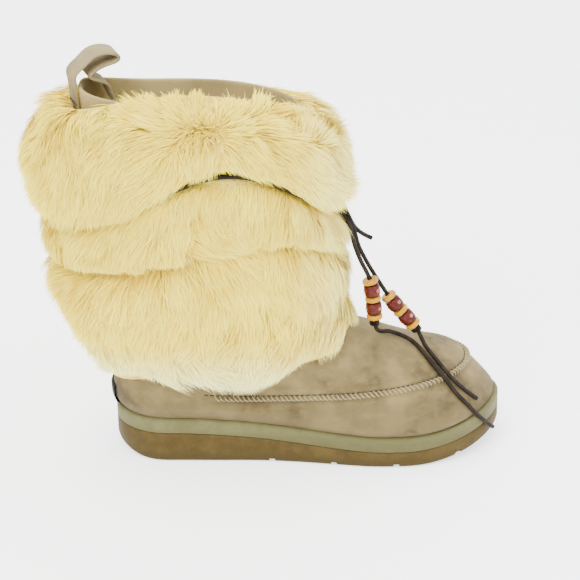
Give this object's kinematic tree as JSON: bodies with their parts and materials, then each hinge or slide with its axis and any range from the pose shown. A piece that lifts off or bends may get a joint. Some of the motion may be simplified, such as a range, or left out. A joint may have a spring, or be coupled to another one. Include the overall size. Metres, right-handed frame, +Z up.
{
  "type": "shearling boot",
  "caption": "Right boot with a suede upper, a shaft wrapped in long shearling fur, a rubber sole, a back pull loop and a beaded leather lace round the shaft.",
  "frame": {"origin": "on the flat underside of the outsole, at the middle of its length", "axes": "+X towards the toe, +Y towards the inner side of the right foot, +Z up out of the collar"},
  "size_m": [0.321, 0.123, 0.2872],
  "materials": {
    "gum": "matt gum rubber",
    "pale_band": "matt foam rubber",
    "wool": "sheared wool",
    "suede": "napped suede",
    "fur": "long curly wool",
    "strap": "napped suede",
    "tab": "matt",
    "lace": "waxed",
    "bead_yellow": "glossy",
    "bead_red": "glossy"
  },
  "bodies": {
    "root": {"outsole": "gum", "midsole": "pale_band", "insole": "wool", "upper": "suede", "fur_cuff": "fur", "fur_middle": "fur", "fur_lower": "fur", "pull_loop": "strap", "heel_tab": "tab", "lace_wrap": "lace", "lace_knot": "lace", "lace_tab": "lace", "lace_end_outer": "lace", "lace_end_inner": "lace", "bead_outer_1": "bead_yellow", "bead_outer_2": "bead_red", "bead_outer_3": "bead_yellow", "bead_outer_4": "bead_red", "bead_outer_5": "bead_yellow", "bead_inner_1": "bead_yellow", "bead_inner_2": "bead_red", "bead_inner_3": "bead_yellow", "bead_inner_4": "bead_red", "bead_inner_5": "bead_yellow", "knot_outer": "lace", "knot_inner": "lace"}
  },
  "joints": []
}
